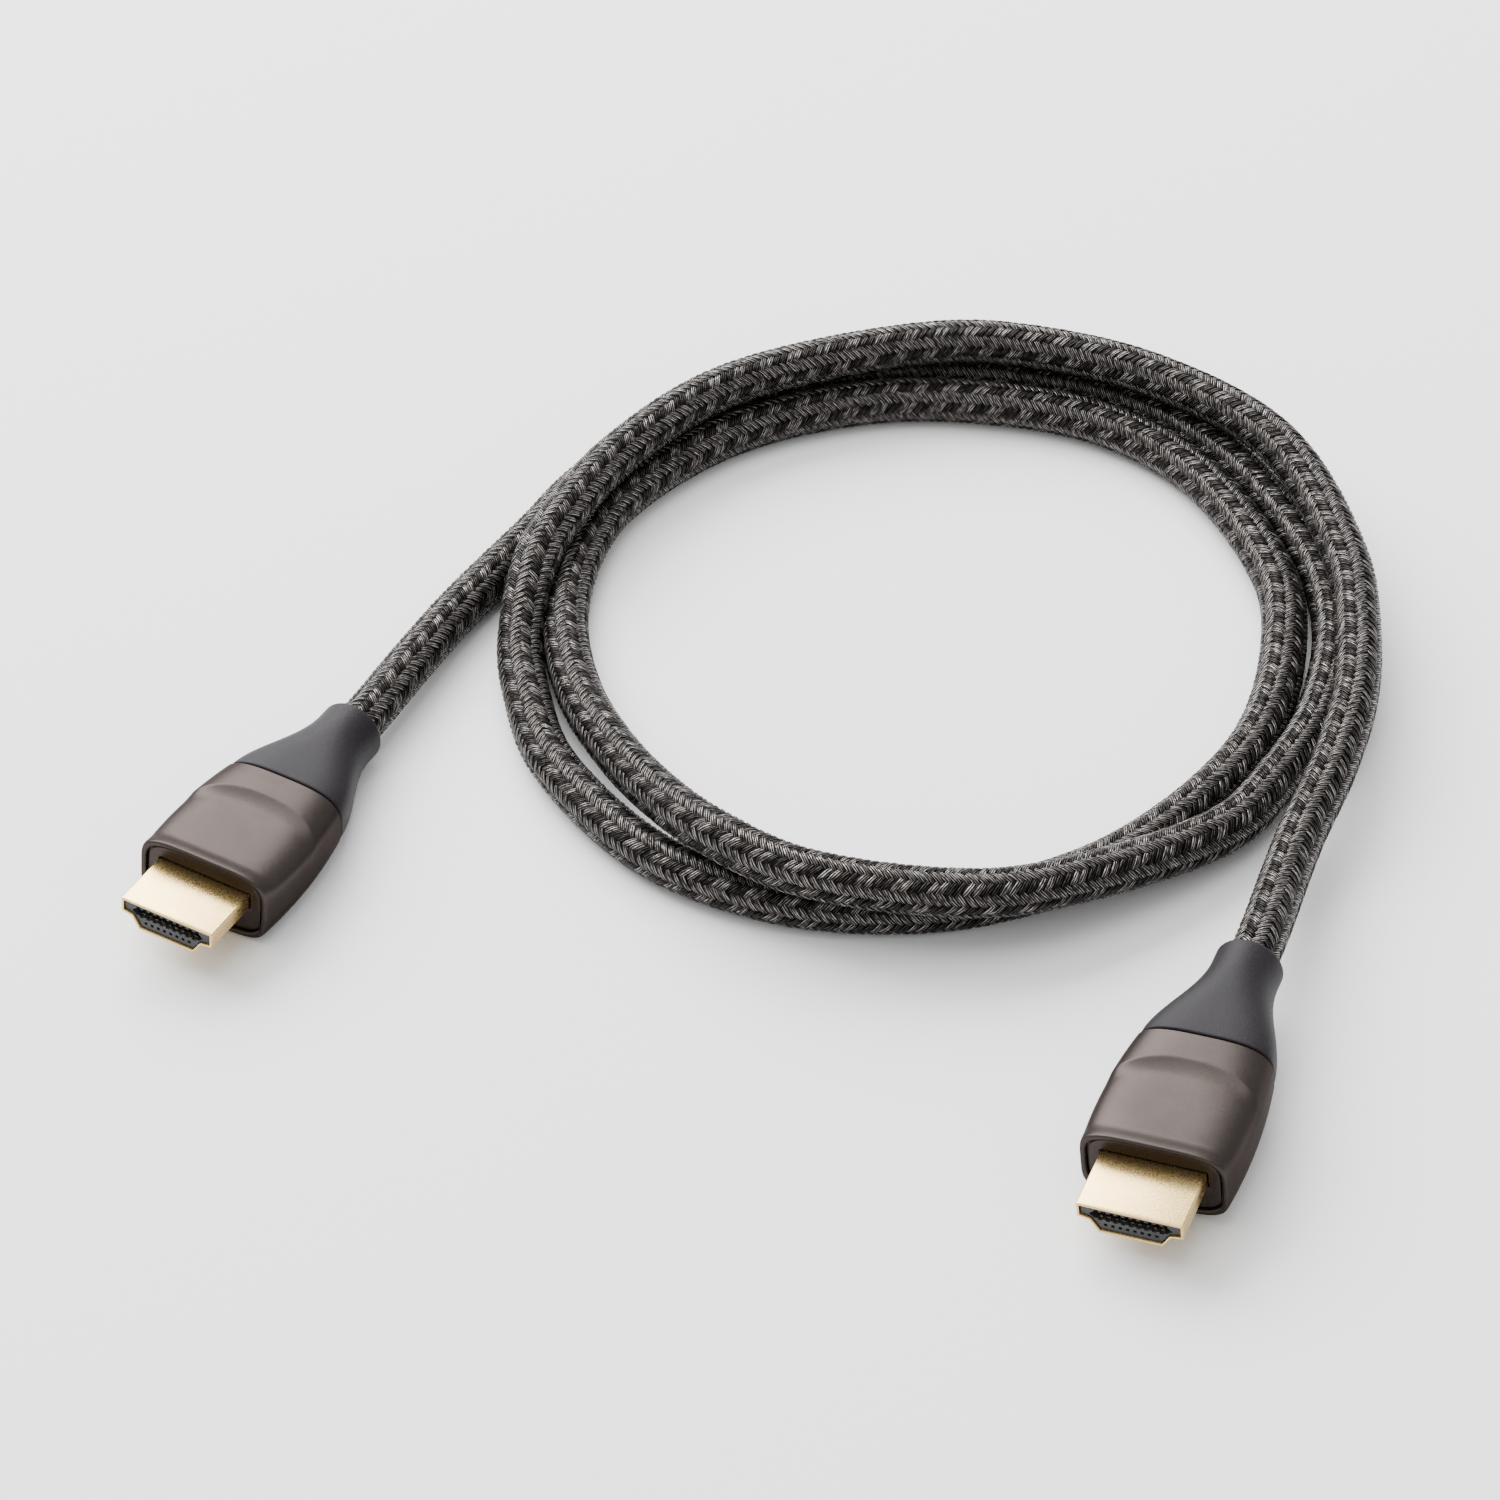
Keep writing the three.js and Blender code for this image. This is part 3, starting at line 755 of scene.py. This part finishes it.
def shell(name):
    """The plated sleeve: its inner wall, the rounded rim of the nose and its outer wall."""
    back = LIP_X + SHELL_SEAT
    places = [(back, -SHELL_WALL)]
    for a in np.linspace(0, 180, 9):
        turn = math.radians(a)
        places.append((NOSE_ROUNDING * (1 - math.sin(turn)), -SHELL_WALL / 2 * (1 + math.cos(turn))))
    places += [(0.5, 0.0), (LIP_X / 2, 0.0), (LIP_X, 0.0), (back, 0.0), (back, -SHELL_WALL)]
    rings = [ring(x, *shell_outline(margin).T) for x, margin in places]
    verts, faces = closed_rings(rings, capped=False)
    obj = mesh_object(f"{name}_plated_shell", to_row(name, verts), faces)
    finish_mesh(obj, SHARP_ANGLE)
    obj.data.materials.append(GOLD)
    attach(obj, "root")
    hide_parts(f"{name}_shell")


for plug in PLUGS:
    housing(plug)
    strain_relief(plug)
    shell(plug)
    for node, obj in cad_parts.items():
        if node.startswith(plug) and "contact_" in node:
            obj.data.materials.clear()
            obj.data.materials.append(PLASTIC if node.endswith("insert") else CONTACT_GOLD)


def floor():
    corners = [(-FLOOR_HALF, -FLOOR_HALF, 0), (FLOOR_HALF, -FLOOR_HALF, 0),
               (FLOOR_HALF, FLOOR_HALF, 0), (-FLOOR_HALF, FLOOR_HALF, 0)]
    obj = mesh_object("floor", corners, [(0, 1, 2, 3)], smooth=False)
    n = Nodes("floor_paper")
    n.set("Base Color", (0.93, 0.93, 0.93, 1))
    n.set("Roughness", 0.9)
    obj.data.materials.append(n.material)


def area_light(name, place, size, power):
    data = bpy.data.lights.new(name, "AREA")
    data.shape = "RECTANGLE"
    data.size, data.size_y = size
    data.energy = power
    obj = bpy.data.objects.new(name, data)
    obj.location = place
    obj.rotation_euler = (-Vector(place)).to_track_quat("-Z", "Y").to_euler()
    bpy.context.collection.objects.link(obj)


def lights():
    world = bpy.data.worlds.new("studio")
    world.use_nodes = True
    world.node_tree.nodes["Background"].inputs["Color"].default_value = (1, 1, 1, 1)
    world.node_tree.nodes["Background"].inputs["Strength"].default_value = 1.0
    bpy.context.scene.world = world
    for name, settings in SOFTBOXES.items():
        area_light(name, *settings)


floor()
lights()
